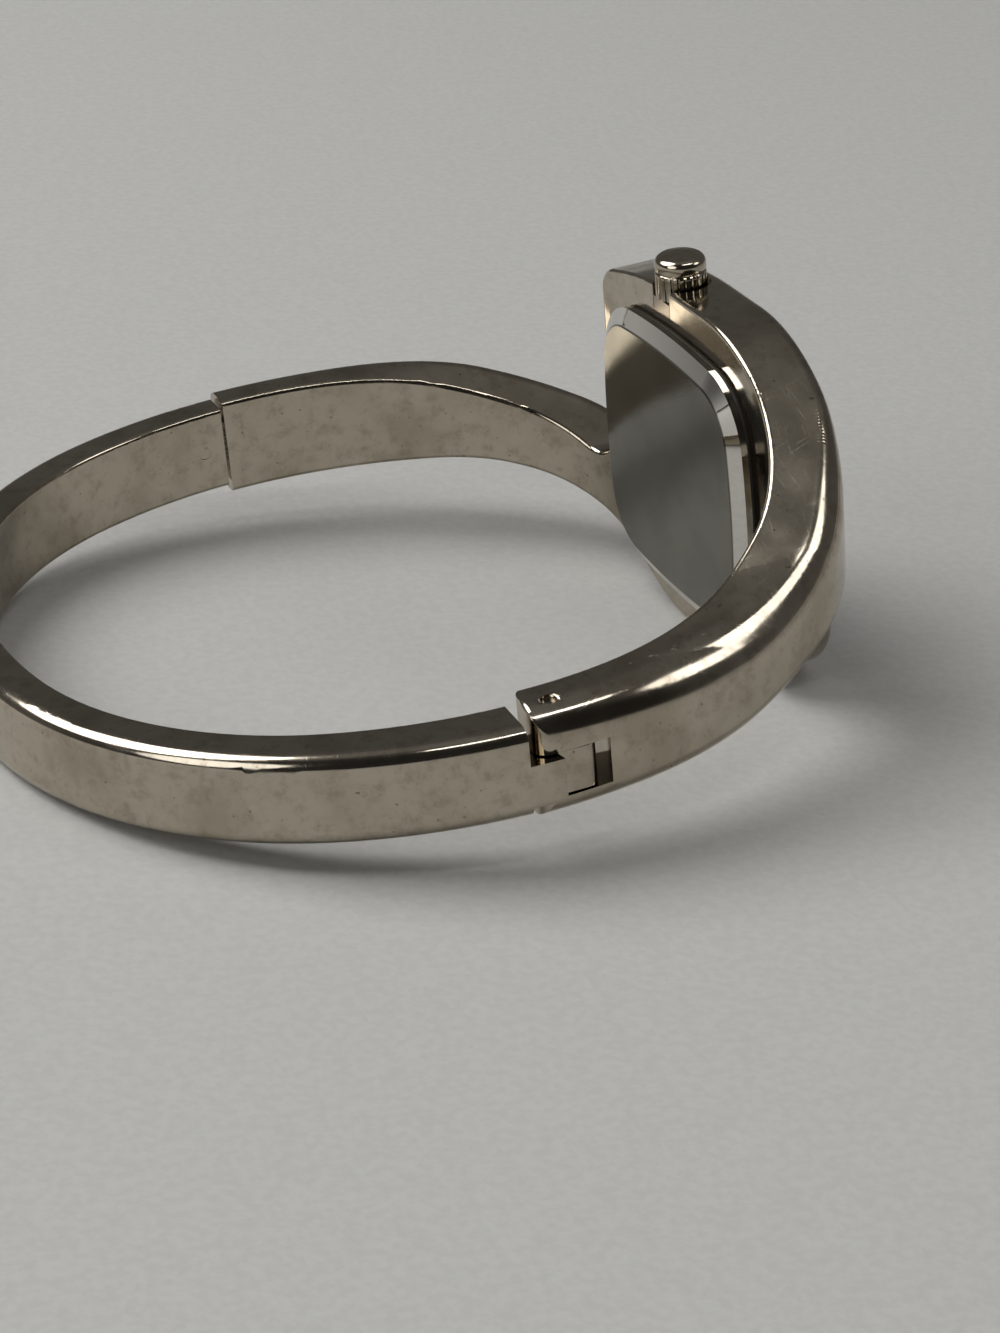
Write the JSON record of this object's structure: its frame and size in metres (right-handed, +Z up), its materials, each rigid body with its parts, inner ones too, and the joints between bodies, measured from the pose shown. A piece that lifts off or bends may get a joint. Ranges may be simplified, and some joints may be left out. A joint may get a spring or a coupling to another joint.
{
  "type": "bangle watch",
  "caption": "Hinged bangle watch: a flowing polished case on two arms, closed at the back by a hinged half ring with a snap clasp.",
  "frame": {"origin": "centre of the bounding box, on the surface that the watch lies on", "axes": "+X towards the dial side, +Y towards the clasp, +Z up; the ring leans with its head end raised"},
  "size_m": [0.0634, 0.0642, 0.0297],
  "materials": {
    "polished_plating": "polished silver-tone plating",
    "spring_steel": "fine ground steel",
    "satin_steel": "satin, polished bevel",
    "crystal_glass": "clear",
    "dial_paint": "lacquered",
    "marker_metal": "polished",
    "hand_metal": "polished",
    "seal_rubber": "matt",
    "ring_plastic": "moulded",
    "plate_metal": "nickel plated",
    "wheel_brass": "fine cut",
    "rotor_metal": "sintered",
    "movement_steel": "polished",
    "battery_steel": "nickel plated",
    "circuit_green": "lacquered",
    "chip_black": "moulded",
    "quartz_metal": "drawn",
    "coil_copper": "lacquered winding"
  },
  "bodies": {
    "watch_case": {"front_case": "polished_plating", "hinge_pin": "polished_plating", "clasp_spring": "spring_steel", "case_back": "satin_steel", "crystal": "crystal_glass", "dial": "dial_paint", "hour_markers": "marker_metal", "case_back_gasket": "seal_rubber", "crystal_gasket": "seal_rubber", "movement_ring": "ring_plastic", "main_plate": "plate_metal", "train_bridge": "plate_metal", "stator": "movement_steel", "coil_core": "movement_steel", "battery_clamp": "movement_steel", "movement_screws": "movement_steel", "setting_lever": "movement_steel", "crown_tube": "movement_steel", "battery": "battery_steel", "circuit_board": "circuit_green", "control_chip": "chip_black", "quartz_can": "quartz_metal", "coil": "coil_copper"},
    "rear_half": {"rear_band": "polished_plating", "clasp_tongue": "spring_steel", "clasp_rivet": "polished_plating"},
    "crown_pull_seal": {"crown_gasket": "seal_rubber"},
    "crown_group": {"crown": "polished_plating", "winding_stem": "movement_steel", "sliding_pinion": "movement_steel"},
    "minute_group": {"centre_wheel": "wheel_brass", "cannon_pinion": "wheel_brass", "minute_hand": "hand_metal"},
    "hour_group": {"hour_wheel": "wheel_brass", "hour_hand": "hand_metal"},
    "minute_wheel_group": {"minute_wheel": "wheel_brass"},
    "third_group": {"third_wheel": "wheel_brass"},
    "intermediate_group": {"intermediate_wheel": "wheel_brass"},
    "rotor_group": {"rotor": "rotor_metal"}
  },
  "joints": [
    {"name": "band_hinge", "type": "hinge", "parent": "watch_case", "child": "rear_half", "pos_m": [0.00113, -0.02954, 0.0077], "axis": [-0.1374, 0, 0.9905], "range_deg": [0, 55]},
    {"name": "crown_pull", "type": "slide", "parent": "watch_case", "child": "crown_pull_seal", "axis": [-0.1374, 0, 0.9905], "range_m": [0, 0.001]},
    {"name": "crown_turn", "type": "hinge", "parent": "crown_pull_seal", "child": "crown_group", "pos_m": [0.02505, 0.00359, 0.02525], "axis": [-0.1374, 0, 0.9905], "continuous": true},
    {"name": "minute_turn", "type": "hinge", "parent": "watch_case", "child": "minute_group", "pos_m": [0.02596, 0.00109, 0.01356], "axis": [0.9905, 0, 0.1374], "continuous": true},
    {"name": "hour_turn", "type": "hinge", "parent": "watch_case", "child": "hour_group", "pos_m": [0.02596, 0.00109, 0.01356], "axis": [0.9905, 0, 0.1374], "continuous": true},
    {"name": "minute_wheel_turn", "type": "hinge", "parent": "watch_case", "child": "minute_wheel_group", "pos_m": [0.02678, -0.00121, 0.01562], "axis": [0.9905, 0, 0.1374], "continuous": true},
    {"name": "third_turn", "type": "hinge", "parent": "watch_case", "child": "third_group", "pos_m": [0.0256, 0.00317, 0.01472], "axis": [0.9905, 0, 0.1374], "continuous": true},
    {"name": "intermediate_turn", "type": "hinge", "parent": "watch_case", "child": "intermediate_group", "pos_m": [0.0251, 0.00355, 0.01684], "axis": [0.9905, 0, 0.1374], "continuous": true},
    {"name": "rotor_turn", "type": "hinge", "parent": "watch_case", "child": "rotor_group", "pos_m": [0.02505, 0.00552, 0.01719], "axis": [0.9905, 0, 0.1374], "continuous": true}
  ],
  "couplings": [
    {"joint": "hour_turn", "follows": "minute_turn", "ratio": 0.083333},
    {"joint": "minute_wheel_turn", "follows": "minute_turn", "ratio": -0.33333},
    {"joint": "third_turn", "follows": "minute_turn", "ratio": -5},
    {"joint": "intermediate_turn", "follows": "minute_turn", "ratio": 22.5},
    {"joint": "rotor_turn", "follows": "minute_turn", "ratio": -90}
  ]
}
